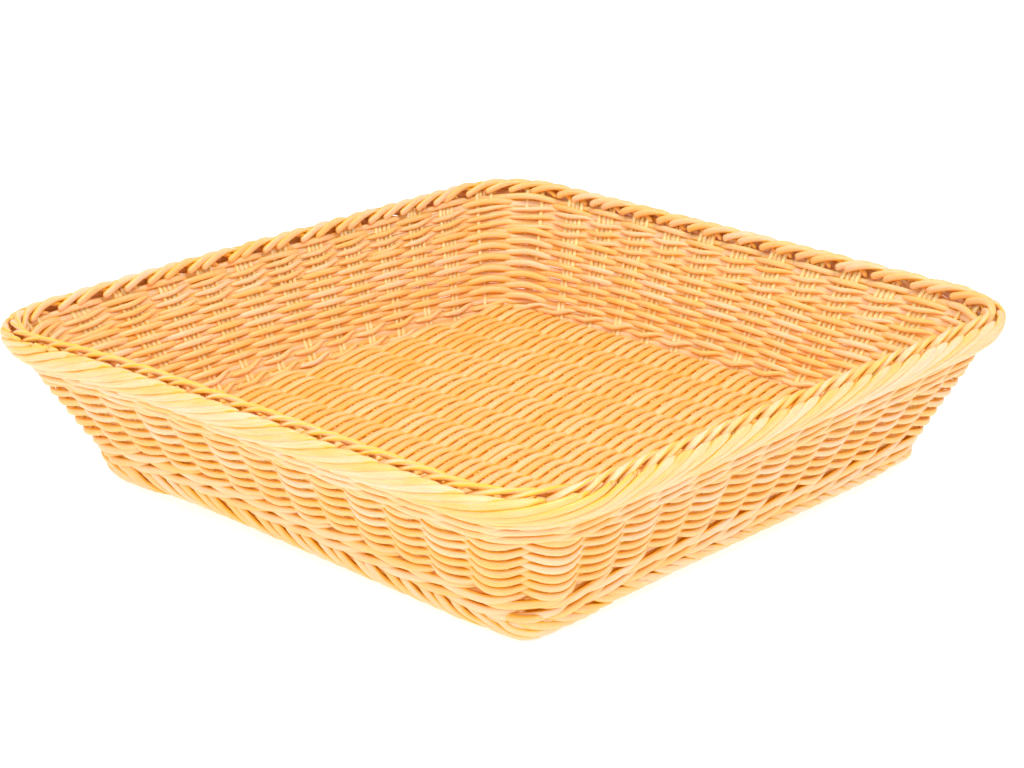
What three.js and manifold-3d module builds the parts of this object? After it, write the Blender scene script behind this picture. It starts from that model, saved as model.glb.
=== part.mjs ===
import * as THREE from "three";
import Module from "manifold-3d";
import { mergeVertices } from "three/addons/utils/BufferGeometryUtils.js";

// Rectangular basket plaited from round-backed plastic strands. Millimetres, +Z up,
// origin on the ground under the middle of the basket.

const wasm = await Module();
wasm.setup();

// Overall sizes: the rim is measured across the top of the border, the foot at the ground
const rimLengthX = 400;
const rimLengthY = 426;
const footLengthX = 317;
const footLengthY = 332.5;
const basketHeight = 98;
const rimCornerRadius = 48;
const footCornerRadius = 8;
const footCornerSpan = 31;

// The basket stands on its four corners: along each side the foot arches up, over a ramp that is
// this many stakes long at either end
const footArch = 5;
const rampStakes = 3.5;

// Uprights: stakes on each straight side and round each corner
const stakesPerSide = 11;
const stakesPerCorner = 2;
const stakeThickness = 2.4;
const stakeFootWidth = 6;
const stakeRimWidth = 9;

// Bars that the stakes' bent ends form inside the two borders
const coreWidth = 3;
const coreHeight = 4;

// Weavers of the side
const strandThickness = 1.6;
const strandHeight = 3.6;
const rowGap = 0.5;
const clearance = 0.35;

// Foot border
const footHeight = 12;
const footWidth = 11;
const footBulge = 1;
const footWrapStakes = -0.8;

// Wales: paired strands that climb in front of two stakes and drop behind two
const waleStrandHeight = 4;
const waleStrandThickness = 1.8;
const upperWaleDrop = 9;

// Woven bottom
const floorHeight = 25.4;
const floorThickness = 3;
const floorRelief = 1.6;
const floorStakePitch = 31;
const floorWeaverPitch = 3.75;

// Rim border: a band outside, a rounded ridge on top and a short lip inside
const bandHeight = 19;
const bandThickness = 1.8;
const bandSwell = 0.8;
const ridgeOuter = 2.6;
const ridgeInner = 1.8;
const ridgeFall = 0.4;
const borderInnerDrop = 9.6;
const borderRoof = 3.2;
const innerCordWidth = 3.6;
const innerCordStrands = 3;
const innerCordTurns = 17;

// Wraps of both borders: how many there are, how far each one stands proud of its grooves, and
// how many stakes a wrap of the rim border travels past
const wrapsPerStake = 2;
const wrapRelief = 0.9;
const rimWrapStakes = 3.5;

// How finely lines are drawn: places between two points of a line round a corner, how near to
// another point one may lie, and the distances under which two points count as one
const cornerStep = 0.5;
const nearestStep = 0.15;
const mergeDistance = 1e-4;
const placeNudge = 1e-9;

const strandColour = 0xf6d59c;
const innerStrandColour = 0xf0be74;

const quarterPlaces = stakesPerSide + stakesPerCorner;
const stakeCount = 4 * quarterPlaces;
const cornerTurn = Math.PI / 2 / stakesPerCorner;

// Where the rim band and the upper wale begin, measured down from the top
const bandBottom = basketHeight - bandHeight;
const upperWaleBottom = bandBottom - upperWaleDrop;

// The wall's middle line at the ground and at the rim. A side ends one span short of where it would
// meet the next side, and a corner is a straight lead, an arc and another lead.
const wallFoot = {
  halfX: (footLengthX - footWidth) / 2,
  halfY: (footLengthY - footWidth) / 2,
  radius: footCornerRadius,
  span: footCornerSpan,
};
const wallRim = {
  halfX: rimLengthX / 2,
  halfY: rimLengthY / 2,
  radius: rimCornerRadius,
  span: rimCornerRadius,
};
const wallLean = (wallRim.halfX - wallFoot.halfX) / basketHeight;

// A place counts round the basket: stake number k stands at place k + 0.5, each side takes
// stakesPerSide places and each corner stakesPerCorner, anticlockwise from the front left corner.
function outlinePoint(place, { halfX, halfY, radius, span }) {
  const quarter = Math.floor(place / quarterPlaces);
  const local = place - quarter * quarterPlaces;
  const halfSide = quarter % 2 === 0 ? halfX : halfY;
  const halfAcross = quarter % 2 === 0 ? halfY : halfX;
  const share = Math.min(1, local / stakesPerSide);
  const lead = span - radius;
  const arc = radius * Math.PI / 2;
  const run = Math.max(0, local - stakesPerSide) / stakesPerCorner * (2 * lead + arc);
  const angle = THREE.MathUtils.clamp((run - lead) / radius, 0, Math.PI / 2);
  const before = Math.min(run, lead);
  const after = Math.max(0, run - lead - arc);
  const sideways = (halfSide - span) * (2 * share - 1) + before + radius * Math.sin(angle);
  const outward = halfAcross - radius + radius * Math.cos(angle) - after;
  const turn = quarter * Math.PI / 2;
  const x = sideways * Math.cos(turn) + outward * Math.sin(turn);
  const y = sideways * Math.sin(turn) - outward * Math.cos(turn);
  return new THREE.Vector3(x, y, 0);
}

// The wall is straight from the ground to the rim at every place. Round a corner, the way out of
// it turns evenly with the place.
function levelPoint(place, height, out = 0, along = 0) {
  const quarter = Math.floor(place / quarterPlaces);
  const pastSide = Math.max(0, place - quarter * quarterPlaces - stakesPerSide);
  const heading = quarter * Math.PI / 2 + pastSide * cornerTurn;
  const point = outlinePoint(place, wallFoot).lerp(outlinePoint(place, wallRim), height / basketHeight);
  point.x += out * Math.sin(heading) + along * Math.cos(heading);
  point.y += along * Math.sin(heading) - out * Math.cos(heading);
  point.z = height;
  return point;
}

// The same on a course of the weave, which follows the foot's arch less and less on the way up and
// is level from the upper wale on
function wallPoint(place, height, out = 0, along = 0) {
  const local = place - Math.floor(place / quarterPlaces) * quarterPlaces;
  const arch = THREE.MathUtils.clamp(Math.min(local, stakesPerSide - local) / rampStakes, 0, 1);
  const lift = footArch * arch * Math.max(0, 1 - height / upperWaleBottom);
  return levelPoint(place, height + lift, out, along);
}

function isCorner(place) {
  const local = place - Math.floor(place / quarterPlaces) * quarterPlaces;
  return local > stakesPerSide;
}

// How far a weaver's middle line stands off the wall's middle surface as it passes a stake.
// At a corner it turns round the stake's shoulder, so it stands further out.
const stakeShoulder = stakeRimWidth / 4;
const tightestPitch = 2 * (wallFoot.halfX - footCornerSpan) / stakesPerSide;
const straightReach = (stakeThickness + strandThickness) / 2 + clearance;
const sideReach = straightReach / (1 - 2 * stakeShoulder / tightestPitch);
const cornerReach = sideReach + stakeShoulder * Math.tan(cornerTurn / 2);

function weaveReach(stake) {
  return isCorner(stake + 0.5) ? cornerReach : sideReach;
}

const widestReach = cornerReach + waleStrandThickness / 2;

// Triangles between two lines that run the same way; each entry is a point and where it lies
function stitch(lineA, lineB, corners) {
  let a = 0;
  let b = 0;
  while (a < lineA.length - 1 || b < lineB.length - 1) {
    const lastA = a === lineA.length - 1;
    const lastB = b === lineB.length - 1;
    if (!lastA && (lastB || lineA[a + 1].at <= lineB[b + 1].at)) {
      corners.push(lineA[a].point, lineA[a + 1].point, lineB[b].point);
      a += 1;
    } else {
      corners.push(lineA[a].point, lineB[b + 1].point, lineB[b].point);
      b += 1;
    }
  }
}

// A line round the basket, put in order of place and closed on its first point
function closedLoop(entries) {
  const inOrder = (at) => THREE.MathUtils.euclideanModulo(at, stakeCount);
  const loop = entries.map(({ at, point }) => ({ at: inOrder(at), point }));
  loop.sort((one, other) => one.at - other.at);
  loop.push({ at: loop[0].at + stakeCount, point: loop[0].point });
  return loop;
}

function solidGeometry(corners) {
  const geometry = new THREE.BufferGeometry().setFromPoints(corners);
  return mergeVertices(geometry, mergeDistance);
}

// A closed ring from sections at equal steps round the basket, each listed up its outer side
function ringGeometry(sections) {
  const corners = [];
  const count = sections[0].length;
  for (let edge = 0; edge < count; edge += 1) {
    const lineA = sections.map((section, at) => ({ at, point: section[edge] }));
    const lineB = sections.map((section, at) => ({ at, point: section[(edge + 1) % count] }));
    lineA.push({ at: sections.length, point: lineA[0].point });
    lineB.push({ at: sections.length, point: lineB[0].point });
    stitch(lineA, lineB, corners);
  }
  return solidGeometry(corners);
}

// A loft with flat ends through sections that all have the same number of points
function loftGeometry(sections) {
  const corners = [];
  const count = sections[0].length;
  for (let edge = 0; edge < count; edge += 1) {
    const lineA = sections.map((section, at) => ({ at, point: section[edge] }));
    const lineB = sections.map((section, at) => ({ at, point: section[(edge + 1) % count] }));
    stitch(lineA, lineB, corners);
  }
  const first = sections[0];
  const last = sections[sections.length - 1];
  for (let edge = 1; edge < count - 1; edge += 1) {
    corners.push(first[0], first[edge], first[edge + 1]);
    corners.push(last[0], last[edge + 1], last[edge]);
  }
  return solidGeometry(corners);
}

function toManifold(geometry) {
  const merged = mergeVertices(geometry.clone(), mergeDistance);
  const mesh = new wasm.Mesh({
    numProp: 3,
    vertProperties: new Float32Array(merged.attributes.position.array),
    triVerts: new Uint32Array(merged.index.array),
  });
  return new wasm.Manifold(mesh);
}

function toGeometry(manifold) {
  const mesh = manifold.getMesh();
  const geometry = new THREE.BufferGeometry();
  geometry.setAttribute("position", new THREE.BufferAttribute(mesh.vertProperties, 3));
  geometry.setIndex(new THREE.BufferAttribute(mesh.triVerts, 1));
  return geometry;
}

// Section of a strand with a flat back and a round front, listed up its outer side
function strandSection(place, height, out, thickness, tall) {
  return [
    wallPoint(place, height - tall / 2, out - thickness / 2),
    wallPoint(place, height, out + thickness / 2),
    wallPoint(place, height + tall / 2, out - thickness / 2),
  ];
}

// One row of plain weave: in front of every other stake and behind the rest
function weaverRow(row, height) {
  const sections = [];
  for (let stake = 0; stake < stakeCount; stake += 1) {
    const side = (stake + row) % 2 === 0 ? 1 : -1;
    const out = side * weaveReach(stake);
    sections.push(strandSection(stake + 0.5, height, out, strandThickness, strandHeight));
  }
  return ringGeometry(sections);
}

// One strand of a wale: it climbs in front of two stakes and drops behind the next two
const waleClimb = (waleStrandHeight + rowGap) / 2;
const waleStandOff = (waleStrandThickness - strandThickness) / 2;

function waleStrand(firstStake, height) {
  const sections = [];
  for (let stake = 0; stake < stakeCount; stake += 1) {
    const step = (stake + firstStake) % 4;
    const side = step < 2 ? 1 : -1;
    const climb = step === 1 || step === 2 ? waleClimb : -waleClimb;
    const out = side * (weaveReach(stake) + waleStandOff);
    const middle = height + climb;
    sections.push(strandSection(stake + 0.5, middle, out, waleStrandThickness, waleStrandHeight));
  }
  return ringGeometry(sections);
}

// A plain line round the basket needs points only at the arch's ramps and round the corners
const rampEnds = [rampStakes, stakesPerSide - rampStakes];

function plainLoop(height, out) {
  const entries = [];
  for (let quarter = 0; quarter < 4; quarter += 1) {
    const start = quarter * quarterPlaces;
    [0, ...rampEnds].forEach((step) => {
      entries.push({ at: start + step, point: wallPoint(start + step, height, out) });
    });
    for (let step = 0; step < 2 * stakesPerCorner; step += 1) {
      const at = start + stakesPerSide + step / 2;
      entries.push({ at, point: wallPoint(at, height, out) });
    }
  }
  return closedLoop(entries);
}

// Where a wrap's line has its points, as shares of its way over the profile: at the profile's own
// points, and at even steps between them where the wrap goes round a corner
function wrapStops(profile, travel, start) {
  const stops = profile.map(({ at }) => at);
  const steps = Math.ceil(Math.abs(travel) / cornerStep);
  for (let step = 1; step < steps; step += 1) {
    const at = step / steps;
    const near = stops.some((other) => Math.abs(other - at) < nearestStep / steps);
    if (!near && isCorner(start + travel * at)) {
      stops.push(at);
    }
  }
  return stops.sort((one, other) => one - other);
}

// A wrapped surface: every wrap runs along a slant line over the profile while it travels
// round the basket. Lines alternate between a wrap's crown and the groove beside it.
function wrappedBorder(profile, travel, plainProfile) {
  const stations = 2 * wrapsPerStake * stakeCount;
  const lines = [];
  for (let station = 0; station < stations; station += 1) {
    const start = station * stakeCount / stations;
    const rise = station % 2 === 0 ? wrapRelief / 2 : -wrapRelief / 2;
    lines.push(wrapStops(profile, travel, start).map((at) => {
      const { height, out, riseUp, riseOut } = profileAt(profile, at);
      const point = wallPoint(start + travel * at, height + rise * riseUp, out + rise * riseOut);
      return { at, point };
    }));
  }
  const corners = [];
  lines.forEach((line, station) => {
    stitch(lines[(station + 1) % stations], line, corners);
  });
  const starts = [];
  const ends = [];
  lines.forEach((line, station) => {
    const place = station * stakeCount / stations;
    starts.push({ at: place, point: line[0].point });
    ends.push({ at: place + travel, point: line[line.length - 1].point });
  });
  const loops = [closedLoop(ends)];
  plainProfile.forEach(({ height, out }) => loops.push(plainLoop(height, out)));
  loops.push(closedLoop(starts));
  for (let index = 0; index < loops.length - 1; index += 1) {
    stitch(loops[index], loops[index + 1], corners);
  }
  return solidGeometry(corners);
}

function profileAt(profile, at) {
  let next = 1;
  while (next < profile.length - 1 && profile[next].at < at) {
    next += 1;
  }
  const from = profile[next - 1];
  const to = profile[next];
  const share = (at - from.at) / (to.at - from.at);
  const blend = (name) => THREE.MathUtils.lerp(from[name], to[name], share);
  return { height: blend("height"), out: blend("out"), riseUp: blend("riseUp"), riseOut: blend("riseOut") };
}

// Foot border: a plaited roll with a groove along its top that holds the stakes' lower ends
const grooveHalf = coreWidth / 2 + clearance;
const grooveBottom = footHeight / 3;
const footOuter = footWidth / 2;
const footLean = wallLean * footHeight;

function footBorder() {
  const bulge = footOuter - footLean / 2 + footBulge;
  const profile = [
    { at: 0, height: 0, out: footOuter, riseUp: 0, riseOut: 1 },
    { at: 0.5, height: footHeight / 2, out: bulge, riseUp: 0, riseOut: 1 },
    { at: 1, height: footHeight, out: footOuter - footLean, riseUp: 0, riseOut: 1 },
  ];
  const plainProfile = [
    { height: footHeight, out: grooveHalf },
    { height: grooveBottom, out: grooveHalf },
    { height: grooveBottom, out: -grooveHalf },
    { height: footHeight, out: -grooveHalf },
    { height: footHeight, out: -footOuter - footLean },
    { height: 0, out: -footOuter },
  ];
  return wrappedBorder(profile, footWrapStakes, plainProfile);
}

// Rim border: flat strands that climb the outside, fold over the top and tuck in on the inside
const bandInner = widestReach + clearance;
const bandOuter = bandInner + bandThickness + wrapRelief / 2;
const coreHalf = coreWidth / 2;
const borderRoofHeight = basketHeight - borderRoof;
const borderInnerBottom = basketHeight - borderInnerDrop;
const borderInner = coreHalf + clearance + bandThickness;

function rimBorder() {
  const swellHeight = (bandBottom + basketHeight) / 2;
  const ridgeTop = basketHeight - wrapRelief / 2;
  const profile = [
    { at: 0, height: bandBottom, out: bandOuter, riseUp: 0, riseOut: 1 },
    { at: 0.42, height: swellHeight, out: bandOuter + bandSwell, riseUp: 0, riseOut: 1 },
    { at: 0.7, height: ridgeTop, out: ridgeOuter, riseUp: 1, riseOut: 0.5 },
    { at: 0.82, height: ridgeTop - ridgeFall, out: -ridgeInner, riseUp: 1, riseOut: -0.5 },
    { at: 1, height: borderInnerBottom, out: -borderInner, riseUp: 0, riseOut: -0.6 },
  ];
  const plainProfile = [
    { height: borderInnerBottom, out: -coreHalf - clearance },
    { height: borderRoofHeight, out: -coreHalf - clearance },
    { height: borderRoofHeight, out: coreHalf + clearance },
    { height: borderInnerBottom, out: bandInner },
    { height: bandBottom, out: bandInner },
  ];
  return wrappedBorder(profile, rimWrapStakes, plainProfile);
}

// Small twisted cord under the inner edge of the rim border
function innerCord() {
  const sections = [];
  const stations = 2 * stakeCount;
  const half = innerCordWidth / 2;
  const chordSag = rimCornerRadius * (1 - Math.cos(cornerTurn / 8));
  const middleOut = -borderInner - wrapRelief / 2 - clearance - chordSag - half;
  const middleHeight = borderInnerBottom + innerCordWidth / 2;
  for (let station = 0; station < stations; station += 1) {
    const place = station * stakeCount / stations;
    const section = [];
    for (let strand = 0; strand < innerCordStrands; strand += 1) {
      const turns = strand / innerCordStrands + innerCordTurns * station / stations;
      const angle = 2 * Math.PI * turns;
      const out = middleOut + half * Math.sin(angle);
      section.push(wallPoint(place, middleHeight - half * Math.cos(angle), out));
    }
    sections.push(section);
  }
  return ringGeometry(sections);
}

// Section of a group of stakes, which spreads out from the foot to the rim
const rimCoreBottom = borderRoofHeight - clearance - coreHeight;
const footCoreBottom = grooveBottom + clearance;

function stakeSection(place, height) {
  const share = height / basketHeight;
  const half = THREE.MathUtils.lerp(stakeFootWidth, stakeRimWidth, share) / 2;
  const thick = stakeThickness / 2;
  const outline = [
    [-half, 0],
    [-half / 2, -thick],
    [half / 2, -thick],
    [half, 0],
    [half / 2, thick],
    [-half / 2, thick],
  ];
  return outline.map(([along, out]) => wallPoint(place, height, out, along));
}

// A bar along the wall through a list of places, trimmed at both ends to clear the next bar
function coreBar(places, bottom) {
  const sections = places.map((place, index) => {
    const atEnd = index === places.length - 1;
    const trim = index === 0 ? clearance / 2 : atEnd ? -clearance / 2 : 0;
    const outline = [
      [bottom, -coreWidth / 2],
      [bottom, coreWidth / 2],
      [bottom + coreHeight, coreWidth / 2],
      [bottom + coreHeight, -coreWidth / 2],
    ];
    const insidePlace = atEnd ? place - placeNudge : place;
    return outline.map(([height, out]) => wallPoint(insidePlace, height, out, trim));
  });
  return toManifold(loftGeometry(sections));
}

// Stakes of one stretch of wall, with both ends bent over into the cores of the borders
function stakeSet(firstStake, count, rimPlaces, footPlaces) {
  const rimCore = coreBar(rimPlaces, rimCoreBottom);
  let set = rimCore.add(coreBar(footPlaces, footCoreBottom));
  const stakeBottom = footCoreBottom + coreHeight / 2;
  const stakeTop = rimCoreBottom + coreHeight / 2;
  for (let stake = firstStake; stake < firstStake + count; stake += 1) {
    const sections = [stakeSection(stake + 0.5, stakeBottom), stakeSection(stake + 0.5, stakeTop)];
    set = set.add(toManifold(loftGeometry(sections)));
  }
  return toGeometry(set);
}

// Woven bottom: a sheet whose crowns are the weavers passing over the bottom stakes, with every other
// weaver down between them. Its corners are cut back until they clear strands that pass inside both
// stakes of a corner.
function floorSheet() {
  const sideInset = sideReach + waleStandOff + waleStrandThickness / 2 + clearance;
  const cornerInset = widestReach + clearance;
  const bottom = floorHeight - floorThickness;
  const edgeX = levelPoint(quarterPlaces + stakesPerSide / 2, bottom, -sideInset).x;
  const edgeY = -levelPoint(stakesPerSide / 2, bottom, -sideInset).y;
  const corner = levelPoint(stakesPerSide + 0.5, bottom, -cornerInset);
  const edgeRadius = (edgeX - corner.x + edgeY + corner.y) / (2 - Math.SQRT2);
  const weavers = Math.round(2 * edgeX / floorWeaverPitch);
  const bottomStakes = Math.round(2 * edgeY / floorStakePitch);
  const columns = weavers + 1;
  const bands = bottomStakes + 1;
  const top = [];
  const under = [];
  for (let column = 0; column <= columns; column += 1) {
    const x = THREE.MathUtils.clamp((column - columns / 2) * floorWeaverPitch, -edgeX, edgeX);
    const pastCorner = Math.max(0, Math.abs(x) - (edgeX - edgeRadius));
    const halfSpan = edgeY - edgeRadius + Math.sqrt(Math.max(0, edgeRadius ** 2 - pastCorner ** 2));
    const topLine = [];
    const underLine = [];
    for (let band = 0; band <= bands; band += 1) {
      const y = halfSpan * THREE.MathUtils.clamp((2 * band - 1) / bottomStakes - 1, -1, 1);
      const edge = band === 0 || band === bands || column === 0 || column === columns;
      const wave = edge ? 0 : (column + band) % 2 === 0 ? floorRelief : -floorRelief;
      topLine.push({ at: band, point: new THREE.Vector3(x, y, floorHeight + wave) });
      if (edge) {
        underLine.push({ at: band, point: new THREE.Vector3(x, y, bottom) });
      }
    }
    top.push(topLine);
    under.push(underLine);
  }
  const corners = [];
  for (let column = 0; column < columns; column += 1) {
    stitch(top[column + 1], top[column], corners);
    stitch(under[column], under[column + 1], corners);
    const ends = [[0, 0], [bands, under[column].length - 1]];
    const nextEnds = [[0, 0], [bands, under[column + 1].length - 1]];
    ends.forEach(([topEnd, underEnd], side) => {
      const upper = [top[column][topEnd], top[column + 1][nextEnds[side][0]]];
      const lower = [under[column][underEnd], under[column + 1][nextEnds[side][1]]];
      const upperLine = upper.map(({ point }, at) => ({ at, point }));
      const lowerLine = lower.map(({ point }, at) => ({ at, point }));
      if (side === 0) {
        stitch(lowerLine, upperLine, corners);
      } else {
        stitch(upperLine, lowerLine, corners);
      }
    });
  }
  stitch(top[0], under[0], corners);
  stitch(under[columns], top[columns], corners);
  return solidGeometry(corners);
}

const strandMaterial = new THREE.MeshStandardMaterial({
  color: strandColour,
  roughness: 0.42,
  metalness: 0,
});
const innerMaterial = new THREE.MeshStandardMaterial({
  color: innerStrandColour,
  roughness: 0.46,
  metalness: 0,
});

const basket = new THREE.Group();

function addPiece(name, geometry, material) {
  geometry.computeVertexNormals();
  const mesh = new THREE.Mesh(geometry, material.clone());
  mesh.name = name;
  basket.add(mesh);
}

addPiece("foot_border", footBorder(), strandMaterial);
addPiece("woven_bottom", floorSheet(), innerMaterial);

const sideNames = ["front", "right", "back", "left"];
const cornerNames = ["front_right", "back_right", "back_left", "front_left"];
sideNames.forEach((name, quarter) => {
  const start = quarter * quarterPlaces;
  const cornerStart = start + stakesPerSide;
  const end = start + quarterPlaces;
  const ramps = rampEnds.map((step) => start + step);
  const cornerPlaces = [];
  for (let step = 0; step <= 2 * stakesPerCorner; step += 1) {
    cornerPlaces.push(cornerStart + step / 2);
  }
  const sideSet = stakeSet(start, stakesPerSide, [start, cornerStart], [start, ...ramps, cornerStart]);
  const cornerSet = stakeSet(cornerStart, stakesPerCorner, cornerPlaces, cornerPlaces);
  addPiece(`stakes_${name}`, sideSet, innerMaterial);
  addPiece(`stakes_corner_${cornerNames[quarter]}`, cornerSet, innerMaterial);
});

// Heights of the courses, from the foot border up
const lowerWaleMiddle = footHeight + clearance + waleStrandHeight / 2 + waleClimb;
const waleHalf = waleClimb + waleStrandHeight / 2;
const lowerRowsBottom = lowerWaleMiddle + waleHalf + rowGap;
const upperWaleMiddle = upperWaleBottom + waleHalf;
const upperRowsBottom = upperWaleMiddle + waleHalf + rowGap;
const rowPitch = strandHeight + rowGap;
const lowerRowCount = Math.floor((upperWaleBottom - lowerRowsBottom) / rowPitch);
const upperRowsTop = borderInnerBottom - clearance;
const upperRowCount = Math.floor((upperRowsTop - upperRowsBottom) / rowPitch);

addPiece("lower_wale_a", waleStrand(0, lowerWaleMiddle), strandMaterial);
addPiece("lower_wale_b", waleStrand(2, lowerWaleMiddle), strandMaterial);
for (let row = 0; row < lowerRowCount; row += 1) {
  const height = lowerRowsBottom + (row + 0.5) * (upperWaleBottom - lowerRowsBottom) / lowerRowCount;
  addPiece(`side_row_${row + 1}`, weaverRow(row, height), strandMaterial);
}
addPiece("upper_wale_a", waleStrand(0, upperWaleMiddle), strandMaterial);
addPiece("upper_wale_b", waleStrand(2, upperWaleMiddle), strandMaterial);
for (let row = 0; row < upperRowCount; row += 1) {
  const height = upperRowsBottom + (row + 0.5) * (upperRowsTop - upperRowsBottom) / upperRowCount;
  addPiece(`top_row_${row + 1}`, weaverRow(row, height), strandMaterial);
}

addPiece("rim_border", rimBorder(), strandMaterial);
addPiece("rim_inner_cord", innerCord(), strandMaterial);

export default basket;
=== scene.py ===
"""Rectangular basket plaited from pale plastic strands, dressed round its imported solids.

Every strand is a real swept form with an oval section. Lengths are in millimetres until a mesh is
made, which is in metres. A place counts round the wall: stake k stands at place k + 0.5, a side has
STAKES_PER_SIDE places and a corner STAKES_PER_CORNER, anticlockwise from the front left corner.
"""

import math

import bpy
import numpy as np
from mathutils import Matrix, Vector


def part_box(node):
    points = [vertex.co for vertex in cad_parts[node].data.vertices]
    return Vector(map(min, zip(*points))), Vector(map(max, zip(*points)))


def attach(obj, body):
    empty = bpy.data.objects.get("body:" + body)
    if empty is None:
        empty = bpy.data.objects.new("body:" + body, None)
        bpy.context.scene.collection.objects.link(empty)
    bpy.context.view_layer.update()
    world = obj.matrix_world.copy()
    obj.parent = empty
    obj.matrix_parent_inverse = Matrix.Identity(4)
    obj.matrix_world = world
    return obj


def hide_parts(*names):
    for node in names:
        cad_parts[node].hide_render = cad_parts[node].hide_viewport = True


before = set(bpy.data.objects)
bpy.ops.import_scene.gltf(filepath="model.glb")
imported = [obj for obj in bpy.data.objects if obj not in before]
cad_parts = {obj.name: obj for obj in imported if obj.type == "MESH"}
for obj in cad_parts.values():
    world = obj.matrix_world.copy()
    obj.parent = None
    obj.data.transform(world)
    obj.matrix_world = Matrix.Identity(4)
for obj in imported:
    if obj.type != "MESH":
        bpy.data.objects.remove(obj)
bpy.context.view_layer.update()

MM = 0.001

# Overall sizes, as in the solids: the rim across the top of its border, the foot at the ground
RIM_LENGTH_X = 400.0
RIM_LENGTH_Y = 426.0
FOOT_LENGTH_X = 317.0
FOOT_LENGTH_Y = 332.5
BASKET_HEIGHT = 98.0
RIM_CORNER_RADIUS = 48.0
FOOT_CORNER_RADIUS = 8.0
FOOT_CORNER_SPAN = 31.0
FOOT_WIDTH = 11.0
FOOT_ARCH = 5.0

STAKES_PER_SIDE = 11
STAKES_PER_CORNER = 2
PLACES_PER_QUARTER = STAKES_PER_SIDE + STAKES_PER_CORNER
STAKE_COUNT = 4 * PLACES_PER_QUARTER
CORNER_MIDDLE = STAKES_PER_SIDE + STAKES_PER_CORNER / 2
WALL_LEAN = math.atan((RIM_LENGTH_X - FOOT_LENGTH_X + FOOT_WIDTH) / 2 / BASKET_HEIGHT)

# Places over which a strand's bend at a stake is spread
BEND_SHIFTS = (-0.2, -0.1, 0.0, 0.1, 0.2)

# Strand sections: full width across the face, and thickness
WEAVER = (3.8, 2.6)
STAKE_STRAND = (3.0, 2.4)
LOWER_WALE_STRAND = (4.7, 2.8)
UPPER_WALE_STRAND = (3.8, 2.7)
BORDER_STRAND = (4.6, 3.0)
CORD_STRAND = (4.3, 2.7)
FOOT_STRAND = (4.9, 2.8)
FLOOR_STRAND = (5.7, 2.2)
CORE_STRAND = (3.4, 1.2)
FOOT_CORE_STRAND = (4.6, 4.6)

# How square a section is: 2 is a plain oval
OVAL = 2.0
FULL_OVAL = 2.3
FLATTENED = 2.5

# Corners round a section, and round one that hardly shows
SECTION_SIDES = 10
PLAIN_SIDES = 8

# Courses of the wall, from the foot up. Woven as a slow spiral, they stand higher or lower than
# this by up to COURSE_TILT round the basket, highest at COURSE_PEAK.
FLOOR_LEVEL = 24.4
FLOOR_CORNER_RADIUS = 18.0
LOWER_WALE_MIDDLES = (20.0, 27.7)
FIRST_ROW = 32.9
ROW_PITCH = 2.98
SIDE_ROWS = 13
UPPER_WALE_MIDDLES = (71.2, 76.2, 81.2)
TOP_ROWS = (85.0, 88.0)
COURSE_TILT = 3.3
COURSE_PEAK = -1.0
TILT_FADES_FROM, TILT_FADES_OVER, TILT_LEFT = 65.0, 24.0, 0.3

# A wale's strand passes in front of some stakes and behind the next, and climbs as it passes in
# front. It lies WALE_CLEARANCE further out than a row, and behind that much nearer the wall.
# Behind, it narrows and is back at its first height after WALE_DROP_SHARE of the way.
WALE_IN_FRONT = 2
WALE_BEHIND = 1
WALE_STATIONS = 14
WALE_CLEARANCE = 0.3
WALE_ROUNDNESS = 0.7
LOWER_WALE_RISE = 5.6
UPPER_WALE_RISE = 3.4
WALE_INSIDE_WIDTH = 3.3
WALE_OUTSIDE_NARROWING = 0.2
WALE_INSIDE_NARROWING = 0.45
WALE_DROP_SHARE = 0.6
WALE_CORE_SPACING = 2.8

# The front left corner is bent out and down, most of all at the rim
PULLED_CORNER = STAKE_COUNT - 1
PULL = (-5.2, -5.2, -3.6)
PULL_SPREAD = 2.4

# How high the foot stands off the ground at places round the basket. Along a side it stands at
# about FOOT_ARCH, and the courses above follow it less and less up to the upper wale.
FOOT_LIFTS = [
    (-0.7, 1.3), (0.3, 3.8), (0.9, 6.0), (3.2, 7.4), (5.5, 5.8), (7.8, 4.3), (10.1, 2.6),
    (11.4, 1.2), (12.4, 1.1), (13.2, 2.2), (14.0, 4.2), (15.5, 5.0), (23.0, 5.2), (24.2, 5.8),
    (25.0, 4.6), (26.2, 4.8), (35.6, 5.0), (37.2, 1.4), (38.0, 1.1), (38.8, 1.4), (40.4, 5.0),
    (48.6, 5.0), (50.3, 1.6), (51.3, 1.3),
]

# How far a weaver's middle line stands off the wall's middle surface as it passes a stake, and
# how evenly it swings: the higher the number, the longer it runs flat past a stake
SIDE_REACH = 3.4
CORNER_REACH = 4.3
WEAVER_FLATNESS = 0.6
FLOOR_FLATNESS = 1.3

# A weaver is narrower between stakes and wider round a corner, as shares of its width
WEAVER_NARROWING = 0.10
CORNER_WIDENING = 0.12

# A corner's shapes reach this many places from its middle and fade out over these
CORNER_SHAPES_TO, CORNER_SHAPES_FADE = 1.4, 0.8

# Unevenness of the courses: in height for all rows alike and for each alone, and in reach
SHARED_WANDER, ROW_WANDER, WALE_WANDER, REACH_WANDER = 0.25, 0.08, 0.2, 0.10

# Where the second strand of a border pair starts, in places after the first, and how unevenly
# the strands of the borders start
BORDER_PAIR = 0.40
PATH_UNEVENNESS = 0.04
BORDER_HEIGHT_UNEVENNESS = 0.2
CORD_START = 0.2

# Places to either side between which the slant of a border strand is taken
NEARBY = 0.02

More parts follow.
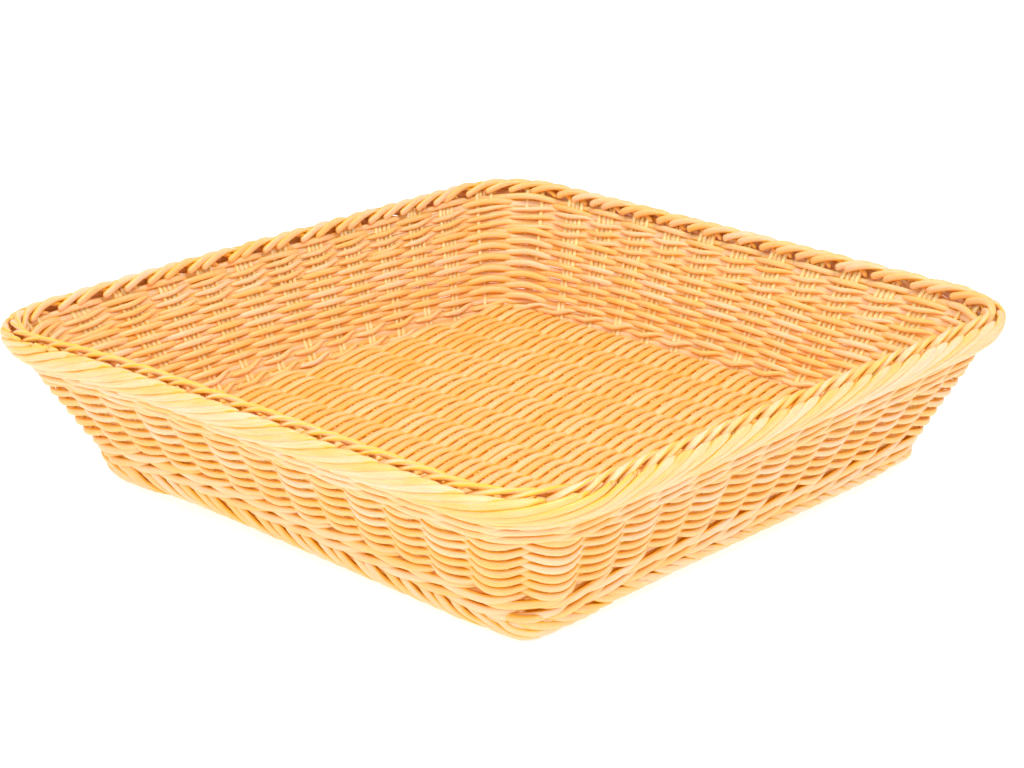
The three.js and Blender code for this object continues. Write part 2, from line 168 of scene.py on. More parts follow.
# Strands beside each stake's middle: two from the foot up, and two border ends from mid-height up
STAKE_PAIR = (-1.72, 1.72)
STAKE_FROM, STAKE_TO = 9.0, 94.0
STAKE_NUDGE, STAKE_SINK = 0.25, 0.4
BORDER_ENDS = (-5.15, 5.15)
BORDER_END_FROM, BORDER_END_TO = (43, 55), 93.5
BORDER_END_SPLAY, BORDER_END_MIDDLE = 0.35 / 25, 65
BORDER_END_SINK, CORNER_END_SINK = 0.5, 1.6

# The foot: its hidden core strands by height and how far out, where the second strand of a pair
# starts, how a corner is drawn in and its strands' first ends tucked away, and from what height
# up its strands follow the tilt of the courses
FOOT_CORES = ((10.0, 1.4), (14.0, 0.9), (17.6, 0.4))
FOOT_PAIR = 0.42
FOOT_CORNER_DRAWN_IN = 0.4
FOOT_TUCK, FOOT_TUCK_SHARE = 5.5, 0.25
FOOT_TILTS_FROM, FOOT_TILTS_OVER = 8.0, 8.0

# The bottom: weavers along Y, FLOOR_PITCH apart, over and under one pair of stakes to a band
FLOOR_INSET = 3.2
FLOOR_PITCH = 3.75
FLOOR_BANDS = 11
FLOOR_BAND_STATIONS = 12
FLOOR_SWAY = 4.2
FLOOR_CROWN = 1.55
FLOOR_BEND = 3.0
FLOOR_UNEVENNESS = 0.25
FLOOR_EDGE = 1.5
FLOOR_STAKE_PAIR = (-1.7, 1.7)
FLOOR_STAKE_EDGE = 1.0

# How far a strand's face turns up as it passes outside a stake, in radians
OUTSIDE_TILT = 0.35

rng = np.random.default_rng(24)


def lerp(a, b, share):
    return a + (b - a) * share


def unit(v):
    return v / np.maximum(np.linalg.norm(v, axis=-1, keepdims=True), 1e-12)


def smooth(x):
    x = np.clip(x, 0, 1)
    return x * x * (3 - 2 * x)


def outline(place, length_x, length_y, radius, span):
    """Points at places on a level outline, and its turn there. A side ends one span short of
    where two sides would meet; a corner is a straight lead, an arc and another lead."""
    quarter = np.floor(place / PLACES_PER_QUARTER)
    local = place - PLACES_PER_QUARTER * quarter
    odd = quarter % 2 == 1
    half_side = np.where(odd, length_y, length_x) / 2
    half_across = np.where(odd, length_x, length_y) / 2
    part = np.minimum(1, local / STAKES_PER_SIDE)
    lead = span - radius
    arc = radius * math.pi / 2
    run = np.clip(local - STAKES_PER_SIDE, 0, None) / STAKES_PER_CORNER * (2 * lead + arc)
    angle = np.clip((run - lead) / radius, 0, math.pi / 2)
    before, after = np.minimum(run, lead), np.maximum(run - lead - arc, 0)
    sideways = (half_side - span) * (2 * part - 1) + before + radius * np.sin(angle)
    outward = half_across - radius + radius * np.cos(angle) - after
    turn = quarter * math.pi / 2
    x = sideways * np.cos(turn) + outward * np.sin(turn)
    y = sideways * np.sin(turn) - outward * np.cos(turn)
    return x, y, turn + angle


def wall(place, height, out=0.0, along=0.0):
    """Points on the wall's middle surface, moved level out from it and along it."""
    place, height, out, along = np.broadcast_arrays(place, height, out, along)
    share = height / BASKET_HEIGHT
    foot_x, foot_y, foot_turn = outline(
        place, FOOT_LENGTH_X - FOOT_WIDTH, FOOT_LENGTH_Y - FOOT_WIDTH,
        FOOT_CORNER_RADIUS, FOOT_CORNER_SPAN,
    )
    rim_x, rim_y, rim_turn = outline(
        place, RIM_LENGTH_X, RIM_LENGTH_Y, RIM_CORNER_RADIUS, RIM_CORNER_RADIUS
    )
    turn = lerp(foot_turn, rim_turn, share)
    away = np.mod(place - PULLED_CORNER + STAKE_COUNT / 2, STAKE_COUNT) - STAKE_COUNT / 2
    pull = share * np.exp(-(away / PULL_SPREAD) ** 2)
    x = lerp(foot_x, rim_x, share) + out * np.sin(turn) + along * np.cos(turn) + PULL[0] * pull
    y = lerp(foot_y, rim_y, share) - out * np.cos(turn) + along * np.sin(turn) + PULL[1] * pull
    return np.stack([x, y, height + PULL[2] * pull], -1)


def lean(place, tilt=0.0):
    """Unit vector out of the leaning wall, turned up by a tilt in radians."""
    quarter = np.floor(place / PLACES_PER_QUARTER)
    past_side = np.clip(place - PLACES_PER_QUARTER * quarter - STAKES_PER_SIDE, 0, None)
    turn = (quarter + past_side / STAKES_PER_CORNER) * math.pi / 2
    slope = tilt - WALL_LEAN
    return np.stack(np.broadcast_arrays(
        np.sin(turn) * np.cos(slope), -np.cos(turn) * np.cos(slope), np.sin(slope)
    ), -1)


def woven(place, height, out):
    """Points on a strand that goes straight from stake to stake, out square to the wall."""
    total = 0.0
    for shift in BEND_SHIFTS:
        before = np.floor(place + shift - 0.5) + 0.5
        part = (place + shift - before)[..., None]
        total = total + lerp(wall(before, height), wall(before + 1, height), part)
    return total / len(BEND_SHIFTS) + lean(place) * np.asarray(out)[..., None]


def course_shift(place, height):
    """How much higher than its middle height a course stands at a place, less near the rim."""
    share = lerp(1.0, TILT_LEFT, smooth((height - TILT_FADES_FROM) / TILT_FADES_OVER))
    return share * COURSE_TILT * np.cos(2 * math.pi * (place - COURSE_PEAK) / STAKE_COUNT)


def foot_lift(place):
    """How high the foot stands off the ground at a place."""
    first = FOOT_LIFTS[0][0]
    turned = np.mod(place - first, STAKE_COUNT) + first
    return np.maximum(profile(turned, FOOT_LIFTS)[0], 0)


def settled(place, height):
    """Where a course that stands at a height over a level foot comes to lie at a place."""
    share = (UPPER_WALE_MIDDLES[0] - height) / (UPPER_WALE_MIDDLES[0] - FOOT_ARCH)
    return height + (foot_lift(place) - FOOT_ARCH) * np.clip(share, 0, 1)


def corner_share(place):
    """1 among a corner's stakes, 0 along the sides."""
    local = np.mod(place, PLACES_PER_QUARTER)
    away = np.abs(local - CORNER_MIDDLE)
    away = np.minimum(away, PLACES_PER_QUARTER - away)
    return smooth((CORNER_SHAPES_TO - away) / CORNER_SHAPES_FADE)


def reach(place):
    """How far a weaver's middle line stands off the wall's middle surface at a stake."""
    return lerp(SIDE_REACH, CORNER_REACH, corner_share(place))


def wander(place, size, waves=5):
    """A smooth unevenness round the basket that closes on itself."""
    turn = 2 * math.pi * place / STAKE_COUNT
    total = np.zeros_like(turn)
    for _ in range(waves):
        total += np.sin(turn * rng.integers(3, 23) + rng.uniform(0, 2 * math.pi))
    return size * total / math.sqrt(waves / 2)


class Strands:
    """Gathers swept strands and makes one object of them."""

    def __init__(self):
        self.points, self.faces, self.marks, self.count = [], [], [], 0

    def sweep(
        self, centre, face, width, thickness,
        closed=False, sides=SECTION_SIDES, power=FULL_OVAL,
    ):
        """centre and face are (strands, stations, 3); face points out of the strand's flat side.
        The marks are what the material reads: run along, place across and the strand's tone."""
        strands, stations = centre.shape[:2]
        if closed:
            ahead, behind = np.roll(centre, -1, 1), np.roll(centre, 1, 1)
        else:
            ahead = np.concatenate([centre[:, 1:], centre[:, -1:]], 1)
            behind = np.concatenate([centre[:, :1], centre[:, :-1]], 1)
        tangent = unit(ahead - behind)
        face = unit(face - (face * tangent).sum(-1, keepdims=True) * tangent)
        across = np.cross(face, tangent)
        steps = np.linalg.norm(np.diff(centre, axis=1), axis=-1)
        run = np.concatenate([np.zeros((strands, 1)), np.cumsum(steps, 1)], 1)
        half_width = np.broadcast_to(width, run.shape) / 2
        half_thick = np.broadcast_to(thickness, run.shape) / 2
        if not closed:
            left = np.minimum(run, run[:, -1:] - run)
            near = np.clip(left / (0.9 * half_width), 0, 1)
            rounding = np.sqrt(np.clip(1 - (1 - near) ** 2, 0.03, 1))
            half_width, half_thick = half_width * rounding, half_thick * rounding
        angle = 2 * math.pi * (np.arange(sides) + 0.5) / sides
        c, s = np.cos(angle), np.sin(angle)
        wide = np.sign(c) * np.abs(c) ** (2 / power)
        deep = np.sign(s) * np.abs(s) ** (2 / power)
        sideways = half_width[..., None] * wide
        outward = half_thick[..., None] * deep
        points = (
            centre[:, :, None]
            + sideways[..., None] * across[:, :, None]
            + outward[..., None] * face[:, :, None]
        )
        tones = rng.uniform(0, 1, strands)
        mark = np.empty(points.shape)
        mark[..., 0] = run[..., None]
        mark[..., 1] = wide
        mark[..., 2] = np.broadcast_to(tones[:, None, None], points.shape[:3])
        ring = np.arange(strands * stations * sides).reshape(strands, stations, sides)
        ring = ring + self.count
        following = np.roll(ring, -1, 1) if closed else ring[:, 1:]
        base = ring if closed else ring[:, :-1]
        quads = [
            np.stack([base, np.roll(base, -1, 2), np.roll(following, -1, 2), following], -1)
        ]
        if not closed:
            for end, turned in ((ring[:, 0], False), (ring[:, -1], True)):
                for i in range(sides // 2 - 1):
                    cap = [end[:, i], end[:, sides - 1 - i], end[:, sides - 2 - i], end[:, i + 1]]
                    quads.append(np.stack(cap[::-1] if turned else cap, -1))
        self.points.append(points.reshape(-1, 3))
        self.marks.append(mark.reshape(-1, 3))
        self.faces += [q.reshape(-1, 4) for q in quads]
        self.count += strands * stations * sides
        return self

    def make(self, name, slot, material, nodes):
        mesh = bpy.data.meshes.new(name)
        points = np.concatenate(self.points) * MM
        faces = np.concatenate(self.faces)
        mesh.vertices.add(len(points))
        mesh.vertices.foreach_set("co", points.astype(np.float32).ravel())
        mesh.loops.add(faces.size)
        mesh.loops.foreach_set("vertex_index", faces.astype(np.int32).ravel())
        mesh.polygons.add(len(faces))
        mesh.polygons.foreach_set("loop_start", np.arange(0, faces.size, 4, dtype=np.int32))
        mesh.update(calc_edges=True)
        mesh.polygons.foreach_set("use_smooth", np.ones(len(faces), bool))
        mark = mesh.attributes.new("strand", "FLOAT_VECTOR", "POINT")
        mark.data.foreach_set("vector", np.concatenate(self.marks).astype(np.float32).ravel())
        mesh.materials.append(material)
        piece = bpy.data.objects.new(name, mesh)
        bpy.context.scene.collection.objects.link(piece)
        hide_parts(*nodes)
        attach(piece, "root")


def stops(count):
    """Shares of the way along an open strand, closer together at its two rounded ends."""
    end = np.array([0.0, 0.006, 0.018])
    return np.concatenate([end, np.linspace(0.04, 0.96, count), 1 - end[::-1]])


# Painted shade: the strands' colours at their sides, in the nooks between strands and deep in a
# hole
SIDE_SHADE_COLOUR = (1.0, 0.52, 0.03)
NOOK_SHADE_COLOUR = (1.0, 0.52, 0.0)
HOLE_SHADE_COLOUR = (0.70, 0.12, 0.0)

# Pattern steps per millimetre along a strand, per half width across it and per strand
STREAK_SCALE = (0.035, 3.8, 90.0)
BLOTCH_SCALE = (0.05, 0.3, 37.0)

# How wide a nook is, in metres, and how strongly the nooks glow there, a painted light in place of
# light coming through the strands
NOOK_DISTANCE = 0.0045
PAINTED_NOOK_GLOW = 0.07


def strand_material(name, colour, dark, roughness, nook_reach):
    """Satin plastic with fine lengthwise streaks and a tone of its own for each strand, with
    painted shade: deeper orange at the sides, in the nooks between strands and darkest in holes.
    The nooks also glow orange, a painted light in place of light coming through the strands."""
    material = bpy.data.materials.new(name)
    material.use_nodes = True
    tree = material.node_tree
    shader = tree.nodes["Principled BSDF"]
    shader.inputs["IOR"].default_value = 1.46
    shader.inputs["Specular IOR Level"].default_value = 0.42
    shader.inputs["Subsurface Weight"].default_value = 0.35
    shader.inputs["Subsurface Radius"].default_value = (1.0, 0.35, 0.08)
    shader.inputs["Subsurface Scale"].default_value = 0.003

    def node(kind, **values):
        made = tree.nodes.new(kind)
        for key, value in values.items():
            if key in made.inputs:
                made.inputs[key].default_value = value
            else:
                setattr(made, key, value)
        return made

    def link(source, output, target, entry):
        tree.links.new(source.outputs[output], target.inputs[entry])

    def pattern(scale, detail, **values):
        stretched = node("ShaderNodeVectorMath", operation="MULTIPLY")
        stretched.inputs[1].default_value = scale
        link(mark, "Vector", stretched, 0)
        noise = node("ShaderNodeTexNoise", Scale=1.0, Detail=detail, **values)
        link(stretched, "Vector", noise, "Vector")
        return noise

    def remap(source, output, came_from=(0.0, 1.0), goes_to=(0.0, 1.0), **values):
        made = node("ShaderNodeMapRange", **values)
        for which, ends in (("From", came_from), ("To", goes_to)):
            made.inputs[which + " Min"].default_value = ends[0]
            made.inputs[which + " Max"].default_value = ends[1]
        link(source, output, made, "Value")
        return made

    def tint(under, tinge, share):
        made = node("ShaderNodeMixRGB")
        made.inputs["Color2"].default_value = (*tinge, 1)
        link(share, "Result", made, "Fac")
        link(under, "Color", made, "Color1")
        return made

    mark = node("ShaderNodeAttribute", attribute_name="strand")
    streaks = pattern(STREAK_SCALE, 3.0, Roughness=0.6)
    blotches = pattern(BLOTCH_SCALE, 2.0)
    parts = node("ShaderNodeSeparateXYZ")
    link(mark, "Vector", parts, "Vector")

    tone = remap(parts, "Z", goes_to=(-0.22, 0.22))
    streaks_and_tone = node("ShaderNodeMath", operation="ADD")
    link(streaks, "Fac", streaks_and_tone, 0)
    link(tone, "Result", streaks_and_tone, 1)
    weak_blotches = node("ShaderNodeMath", operation="MULTIPLY_ADD")
    weak_blotches.inputs[1].default_value = 0.6
    weak_blotches.inputs[2].default_value = -0.3
    link(blotches, "Fac", weak_blotches, 0)
    total = node("ShaderNodeMath", operation="ADD")
    link(streaks_and_tone, "Value", total, 0)
    link(weak_blotches, "Value", total, 1)
    ramp = node("ShaderNodeValToRGB")
    for element, position, shown in zip(ramp.color_ramp.elements, (0.22, 0.75), (dark, colour)):
        element.position = position
        element.color = (*shown, 1)
    link(total, "Value", ramp, "Fac")

    # Painted shade: each strand's sides are tinted deeper orange
    sideways = node("ShaderNodeMath", operation="ABSOLUTE")
    link(parts, "Y", sideways, 0)
    side_shade = remap(sideways, "Value", (0.76, 1.0), (0.0, 0.85), interpolation_type="SMOOTHSTEP")
    # Painted shade: ambient occlusion tints the nooks between strands orange and the deepest holes
    # dark red
    nook = node("ShaderNodeAmbientOcclusion", Distance=NOOK_DISTANCE, samples=6)
    shade = remap(nook, "AO", (0.08, nook_reach), (0.95, 0.0))
    hole_shade = remap(nook, "AO", (0.0, 0.05), (0.9, 0.0))
    tinted = tint(tint(tint(ramp, SIDE_SHADE_COLOUR, side_shade), NOOK_SHADE_COLOUR, shade), HOLE_SHADE_COLOUR, hole_shade)
    link(tinted, "Color", shader, "Base Color")

    # Painted light: the nooks glow orange, standing in for light that comes through the strands
    painted_glow = node("ShaderNodeMath", operation="MULTIPLY")
    painted_glow.inputs[1].default_value = PAINTED_NOOK_GLOW
    link(shade, "Result", painted_glow, 0)
    link(painted_glow, "Value", shader, "Emission Strength")
    shader.inputs["Emission Color"].default_value = (*NOOK_SHADE_COLOUR, 1)

    rough = remap(streaks, "Fac", goes_to=(roughness - 0.08, roughness + 0.12))
    link(rough, "Result", shader, "Roughness")
    bump = node("ShaderNodeBump", Strength=0.18, Distance=0.0002)
    link(streaks, "Fac", bump, "Height")
    link(bump, "Normal", shader, "Normal")
    return material


OUTER = strand_material("outer_strand", (1.0, 0.64, 0.40), (1.0, 0.54, 0.15), 0.30, 0.55)
# Painted light: the stakes are a paler copy of the same plastic, with a shorter reach of painted
# nook shade, to stand in for the light falling on them
STAKES = strand_material("stake_strand", (1.0, 0.82, 0.44), (1.0, 0.72, 0.30), 0.30, 0.3)
BOTTOM = strand_material("bottom_strand", (1.0, 0.61, 0.29), (1.0, 0.47, 0.11), 0.32, 0.6)

cad_rows = sorted(
    (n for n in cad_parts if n.startswith(("side_row", "top_row"))),
    key=lambda n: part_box(n)[0].z,
)
row_heights = [FIRST_ROW + ROW_PITCH * i for i in range(SIDE_ROWS)] + list(TOP_ROWS)


def nodes_near(height, heights):
    """The solid rows whose nearest row of strands is the one at this height."""
    found = []
    for name in cad_rows:
        low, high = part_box(name)
        middle = (low.z + high.z) / 2 / MM
        if min(heights, key=lambda h: abs(h - middle)) == height:
            found.append(name)
    return found


def ring_places(stations):
    """Places all round the basket, with this many stations from stake to stake."""
    return np.arange(STAKE_COUNT * stations) / stations


def add_core(strands, height, ring):
    """Adds a thin strand that runs straight through a course, hidden, and closes its gaps."""
    level = settled(ring, height + course_shift(ring, height))
    centre = woven(ring, level, 0.0 * ring)[None]
    strands.sweep(
        centre, lean(ring)[None], *CORE_STRAND, closed=True, sides=PLAIN_SIDES, power=OVAL
    )


def weave_rows():
    """Rows of plain weave: each passes in front of every other stake and behind the rest."""
    place = ring_places(16)
    shared = wander(place, SHARED_WANDER)
    for row, height in enumerate(row_heights):
        phase = np.cos(math.pi * (place - 0.5 + row))
        wave = np.tanh(WEAVER_FLATNESS * phase) / math.tanh(WEAVER_FLATNESS)
        level = height + shared + course_shift(place, height) + wander(place, ROW_WANDER)
        level = settled(place, level)
        out = wave * reach(place) + wander(place, REACH_WANDER)
        squeeze = 1 - WEAVER_NARROWING + WEAVER_NARROWING * np.abs(phase)
        squeeze = squeeze + CORNER_WIDENING * corner_share(place)
        centre = woven(place, level, out)[None]
        face = lean(place, OUTSIDE_TILT * np.clip(wave, 0, 1))[None]
        strands = Strands().sweep(
            centre, face, WEAVER[0] * squeeze, WEAVER[1], closed=True, power=FLATTENED
        )
        add_core(strands, height, ring_places(8))
        if row < SIDE_ROWS:
            name = f"side_row_strand_{row + 1}"
        else:
            name = f"top_row_strand_{row + 1 - SIDE_ROWS}"
        strands.make(name, "outer_strands", OUTER, nodes_near(height, row_heights))


def wale(name, middle, strand, rise, nodes):
    """A round of a wale as separate passes, one from each stake, with hidden strands between."""
    span = WALE_IN_FRONT + WALE_BEHIND
    share = np.linspace(0, 1, WALE_STATIONS * span + 1)[None]
    place = np.arange(STAKE_COUNT)[:, None] + span * share
    turned = WALE_IN_FRONT / span
    front = share < turned
    phase = np.where(front, share / turned, (share - turned) / (1 - turned))
    bulge = np.sin(math.pi * phase) ** WALE_ROUNDNESS
    outside, inside = reach(place) + WALE_CLEARANCE, SIDE_REACH - WALE_CLEARANCE
    out = np.where(front, bulge * outside, -bulge * inside)
    drop = 0.5 - 0.6 * smooth(phase / WALE_DROP_SHARE)
    climb = np.where(front, phase - 0.5, drop) * rise
    level = middle + climb + course_shift(place, middle) + wander(place, WALE_WANDER)
    centre = woven(place, settled(place, level), out)
    face = lean(place, OUTSIDE_TILT * np.where(front, bulge, 0))
    width = np.where(
        front,
        strand[0] * (1 - WALE_OUTSIDE_NARROWING + WALE_OUTSIDE_NARROWING * bulge),
        WALE_INSIDE_WIDTH * (1 - WALE_INSIDE_NARROWING + WALE_INSIDE_NARROWING * bulge),
    )
    strands = Strands().sweep(centre, face, width, strand[1])
    for height in (middle - WALE_CORE_SPACING, middle, middle + WALE_CORE_SPACING):
        add_core(strands, height, ring_places(10))
    strands.make(name, "outer_strands", OUTER, nodes)


def stakes():
    """Two strands at each stake, and two more from mid-height up that come from the border."""
    number = np.arange(STAKE_COUNT)
    share = np.linspace(0, 1, 26)[None]
    for quarter in range(4):
        start = quarter * PLACES_PER_QUARTER
        side = number[start:start + STAKES_PER_SIDE]
        corner = number[start + STAKES_PER_SIDE:start + PLACES_PER_QUARTER]
        name = ("front", "right", "back", "left")[quarter]
        next_name = ("front_right", "back_right", "back_left", "front_left")[quarter]
        for which, node in ((side, f"stakes_{name}"), (corner, f"stakes_corner_{next_name}")):
            group = Strands()
            each = (len(which), 1)
            place = which[:, None] + 0.5 + 0.0 * share
            for offset in STAKE_PAIR:
                along = offset + rng.uniform(-STAKE_NUDGE, STAKE_NUDGE, each) + 0.0 * share
                out = rng.uniform(-STAKE_SINK, 0.0, each)
                height = settled(place, lerp(STAKE_FROM, STAKE_TO, share))
                centre = wall(place, height, out, along)
                group.sweep(centre, lean(place), *STAKE_STRAND, power=OVAL)
            for offset in BORDER_ENDS:
                height = lerp(rng.uniform(*BORDER_END_FROM, each), BORDER_END_TO, share)
                splay = rng.normal(0, BORDER_END_SPLAY, each)
                along = offset + splay * (height - BORDER_END_MIDDLE)
                out = -BORDER_END_SINK - CORNER_END_SINK * corner_share(place)
                centre = wall(place, height, out, along)
                group.sweep(centre, lean(place), *STAKE_STRAND, power=OVAL)
            group.make(f"{node}_strands", "stake_strands", STAKES, [node])


def profile(share, keys):
    """Values at shares of the way, on a smooth curve through (share, value, ...) keys. A border
    strand's values are the places it has travelled, its height and how far out it lies."""
    keys = np.array(keys, float)
    spot = keys[:, 0]
    columns = []
    for column in keys[:, 1:].T:
        slope = np.gradient(column, spot)
        index = np.clip(np.searchsorted(spot, share, side="right") - 1, 0, len(spot) - 2)
        gap = spot[index + 1] - spot[index]
        t = (share - spot[index]) / gap
        a, b = column[index], column[index + 1]
        ma, mb = slope[index] * gap, slope[index + 1] * gap
        value = (
            (2 * t**3 - 3 * t**2 + 1) * a
            + (t**3 - 2 * t**2 + t) * ma
            + (-2 * t**3 + 3 * t**2) * b
            + (t**3 - t**2) * mb
        )
        columns.append(value)
    return columns


def rim_border():
    """Flat strands, two to a stake, that climb the outside slantwise and bend in over the top."""
    share = stops(46)[None]
    number = np.arange(2 * STAKE_COUNT)[:, None]
    in_pairs = number // 2 + BORDER_PAIR * (number % 2)
    evenly = number / 2
    starts = lerp(in_pairs, evenly, smooth(share / 0.45))
    starts = starts + PATH_UNEVENNESS * rng.standard_normal(number.shape)
    travel, height, out = profile(share, [
        (0.00, -0.55, 77.6, 1.6),
        (0.08, -0.22, 79.8, 4.6),
        (0.17, 0.10, 82.0, 6.3),
        (0.45, 0.80, 86.0, 7.5),
        (0.70, 1.44, 90.8, 6.7),
        (0.84, 1.88, 93.8, 4.4),
        (0.94, 2.16, 94.7, 2.3),
        (1.00, 2.30, 93.8, 1.1),
    ])
    place = starts + travel
    height = height + BORDER_HEIGHT_UNEVENNESS * rng.standard_normal(number.shape)
    centre = wall(place, height, out)
    ahead, behind = wall(place + NEARBY, height, out), wall(place - NEARBY, height, out)
    section = wall(place[:, :1] + 0.0 * place, height, out)
    face = unit(np.cross(ahead - behind, np.gradient(section, axis=1)))
    strands = Strands().sweep(centre, face, *BORDER_STRAND, power=OVAL)
    strands.make("rim_border_strands", "outer_strands", OUTER, ["rim_border"])


def inner_cord():
    """Short strands that lie along the top like a twisted cord and end inside as fingers."""
    share = stops(30)[None]
    number = np.arange(2 * STAKE_COUNT)[:, None]
    starts = number // 2 + BORDER_PAIR * (number % 2) + CORD_START
    starts = starts + PATH_UNEVENNESS * rng.standard_normal(number.shape)
    travel, height, out = profile(share, [
        (0.00, -0.05, 89.6, 0.2),
        (0.13, 0.10, 92.6, -1.1),
        (0.34, 0.38, 96.3, -2.9),
        (0.52, 0.62, 97.6, -4.3),
        (0.72, 0.92, 96.8, -5.8),
        (0.88, 1.18, 94.4, -6.2),
        (1.00, 1.36, 91.8, -4.6),
    ])
    place = starts + travel
    centre = wall(place, height, out)
    inward = wall(place, height, out - 1.0) - wall(place, height, out)
    tilt = lerp(-0.5, 1.0, smooth((share - 0.05) / 0.85))[..., None]
    upward = np.array([0.0, 0.0, 1.0])
    face = unit(inward * tilt + upward * (1 - 0.9 * np.abs(tilt)))
    strands = Strands().sweep(centre, face, *CORD_STRAND)
    strands.make("rim_inner_cord_strands", "outer_strands", OUTER, ["rim_inner_cord"])


def foot_border():
    """Pairs of strands that come down from the stakes, run round the foot and turn under it,
    about a core of the stakes' ends."""
    share = stops(44)[None]
    first = np.repeat(np.arange(STAKE_COUNT), 2)[:, None] + 0.5
    first = first + np.tile([0.0, FOOT_PAIR], STAKE_COUNT)[:, None]
    first = first + PATH_UNEVENNESS * rng.standard_normal(first.shape)
    travel, height, out = profile(share, [
        (0.00, -0.10, 22.0, -0.6),
        (0.12, -0.04, 18.0, 1.6),
        (0.30, 0.16, 14.2, 4.4),
        (0.55, 0.68, 9.4, 6.0),
        (0.72, 1.16, 6.7, 3.8),
        (0.84, 1.58, 6.5, -1.4),
        (0.93, 1.88, 9.4, -4.6),
        (1.00, 2.08, 13.5, -4.9),
    ])
    place = first + travel
    turning = corner_share(place)
    out = out * (1 - FOOT_CORNER_DRAWN_IN * turning)
    out = out - FOOT_TUCK * turning * smooth((FOOT_TUCK_SHARE - share) / FOOT_TUCK_SHARE)
    follow = smooth((height - FOOT_TILTS_FROM) / FOOT_TILTS_OVER)
    height = settled(place, height + course_shift(place, height) * follow)
    centre = wall(place, height, out)
    section = wall(place[:, :1] + 0.0 * place, height, out)
    ahead, behind = wall(place + NEARBY, height, out), wall(place - NEARBY, height, out)
    face = unit(np.cross(np.gradient(section, axis=1), ahead - behind))
    strands = Strands().sweep(centre, face, *FOOT_STRAND)
    ring = ring_places(8)
    for height, out in FOOT_CORES:
        core = wall(ring, settled(ring, height), out)[None]
        strands.sweep(core, lean(ring)[None], *FOOT_CORE_STRAND, closed=True, power=OVAL)
    strands.make("foot_border_strands", "outer_strands", OUTER, ["foot_border"])


def woven_bottom():
    """Weavers along Y over and under pairs of stakes along X, all inside the wall. The weavers
    sway sideways from band to band and bend a little toward the left wall."""
    half_x = wall(PLACES_PER_QUARTER + STAKES_PER_SIDE / 2, FLOOR_LEVEL, -FLOOR_INSET)[0]
    half_y = -wall(STAKES_PER_SIDE / 2, FLOOR_LEVEL, -FLOOR_INSET)[1]
    radius = FLOOR_CORNER_RADIUS
    band = 2 * half_y / FLOOR_BANDS
    count = int(2 * (half_x - FLOOR_EDGE) / FLOOR_PITCH)
    number = np.arange(count)[:, None]
    x = (number - (count - 1) / 2) * FLOOR_PITCH
    past = np.clip(np.abs(x) - (half_x - radius), 0, radius)
    half_span = half_y - radius + np.sqrt(radius**2 - past**2)
    share = np.linspace(-1, 1, FLOOR_BANDS * FLOOR_BAND_STATIONS + 1)[None]
    y = share * half_span
    bend = FLOOR_BEND * smooth((-x - 0.3 * half_x) / (0.7 * half_x)) * np.cos(1.6 * share)
    stretch = (y + bend + half_y) / band - 0.5
    phase = np.cos(math.pi * (stretch + number))
    wave = np.tanh(FLOOR_FLATNESS * phase) / math.tanh(FLOOR_FLATNESS)
    sway = -0.5 * FLOOR_SWAY * np.sin(math.pi * stretch) * np.cos(math.pi * number)
    x = x + sway + FLOOR_UNEVENNESS * rng.standard_normal(x.shape)
    centre = np.stack([x, y, FLOOR_LEVEL + FLOOR_CROWN * wave], -1)
    upward = np.array([0.0, 0.0, 1.0])
    strands = Strands().sweep(
        centre, upward + 0.0 * centre, *FLOOR_STRAND, sides=PLAIN_SIDES
    )
    end = half_x - FLOOR_STAKE_EDGE
    x = np.linspace(-end, end, 40)[None]
    for offset in FLOOR_STAKE_PAIR:
        y = ((np.arange(FLOOR_BANDS) + 0.5) * band - half_y + offset)[:, None]
        centre = np.stack([x + 0.0 * y, y + 0.0 * x, FLOOR_LEVEL + 0.0 * (x + y)], -1)
        strands.sweep(
            centre, upward + 0.0 * centre, *STAKE_STRAND, sides=PLAIN_SIDES, power=OVAL
        )
    strands.make("woven_bottom_strands", "bottom_strands", BOTTOM, ["woven_bottom"])


weave_rows()
for kind, middles, strand, rise in (
    ("lower_wale", LOWER_WALE_MIDDLES, LOWER_WALE_STRAND, LOWER_WALE_RISE),
    ("upper_wale", UPPER_WALE_MIDDLES, UPPER_WALE_STRAND, UPPER_WALE_RISE),
):
    for number, middle in enumerate(middles):
        # The solids have two rounds of each wale, a and b, so a third round replaces none
        nodes = [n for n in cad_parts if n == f"{kind}_{'abc'[number]}"]
        wale(f"{kind}_strands_{number + 1}", middle, strand, rise, nodes)
stakes()
rim_border()
inner_cord()
foot_border()
woven_bottom()

# Camera, from lines fitted to the rim and the foot
AZIMUTH, ELEVATION, ROLL = (math.radians(a) for a in (41.85, 19.87, 0.96))
CAMERA_DISTANCE = 1.5326
CAMERA_TARGET = Vector((-0.0894, 0.0970, FOOT_ARCH * MM))
FOCAL_PIXELS, IMAGE_WIDTH, SENSOR_WIDTH = 2478.8, 1024, 36.0

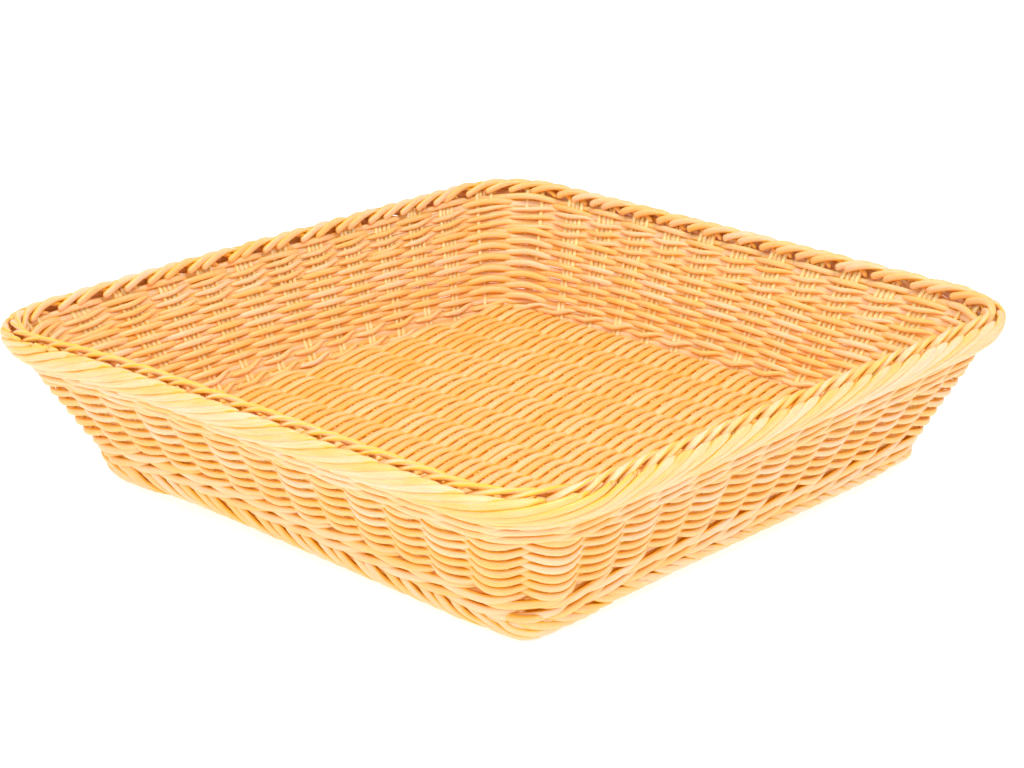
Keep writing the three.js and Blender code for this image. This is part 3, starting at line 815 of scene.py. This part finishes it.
back = Vector((
    math.sin(AZIMUTH) * math.cos(ELEVATION),
    -math.cos(AZIMUTH) * math.cos(ELEVATION),
    math.sin(ELEVATION),
))
level_x = Vector((0, 0, 1)).cross(back).normalized()
level_y = back.cross(level_x)
camera_x = math.cos(ROLL) * level_x + math.sin(ROLL) * level_y
camera_y = -math.sin(ROLL) * level_x + math.cos(ROLL) * level_y
camera = bpy.data.objects.new("camera", bpy.data.cameras.new("camera"))
bpy.context.scene.collection.objects.link(camera)
camera.matrix_world = Matrix.Translation(CAMERA_TARGET + CAMERA_DISTANCE * back) @ Matrix(
    (camera_x, camera_y, back)
).transposed().to_4x4()
camera.data.sensor_width = SENSOR_WIDTH
camera.data.lens = SENSOR_WIDTH * FOCAL_PIXELS / IMAGE_WIDTH
camera.data.clip_start, camera.data.clip_end = 0.01, 50
bpy.context.scene.camera = camera


# Where the lights point
LIT_POINT = Vector((0, 0, 0.05))


def studio():
    """A pale floor, a white surround and soft lights. Sizes here are in metres."""
    scene = bpy.context.scene
    scene.view_settings.view_transform = "Standard"
    world = bpy.data.worlds.new("surround")
    scene.world = world
    world.use_nodes = True
    world.node_tree.nodes["Background"].inputs["Color"].default_value = (1, 1, 1, 1)
    world.node_tree.nodes["Background"].inputs["Strength"].default_value = 0.66

    mesh = bpy.data.meshes.new("floor")
    half = 6.0
    mesh.from_pydata(
        [(-half, -half, 0), (half, -half, 0), (half, half, 0), (-half, half, 0)],
        [], [(0, 1, 2, 3)],
    )
    floor = bpy.data.objects.new("floor", mesh)
    material = bpy.data.materials.new("floor")
    material.use_nodes = True
    shader = material.node_tree.nodes["Principled BSDF"]
    shader.inputs["Base Color"].default_value = (0.55, 0.55, 0.55, 1)
    shader.inputs["Roughness"].default_value = 0.9
    shader.inputs["Emission Color"].default_value = (1, 1, 1, 1)
    shader.inputs["Emission Strength"].default_value = 0.75
    mesh.materials.append(material)
    scene.collection.objects.link(floor)

    def softbox(name, place, size, power):
        light = bpy.data.lights.new(name, "AREA")
        light.shape, light.size, light.energy = "DISK", size, power
        lamp = bpy.data.objects.new(name, light)
        lamp.location = place
        aim = LIT_POINT - Vector(place)
        lamp.rotation_mode = "QUATERNION"
        lamp.rotation_quaternion = aim.to_track_quat("-Z", "Y")
        scene.collection.objects.link(lamp)

    softbox("key", (-0.6, -1.0, 1.7), 0.8, 9)
    softbox("fill", (0.95, -0.25, 1.6), 0.8, 16)
    softbox("front", (0.6, -1.3, 0.95), 0.6, 5)


studio()
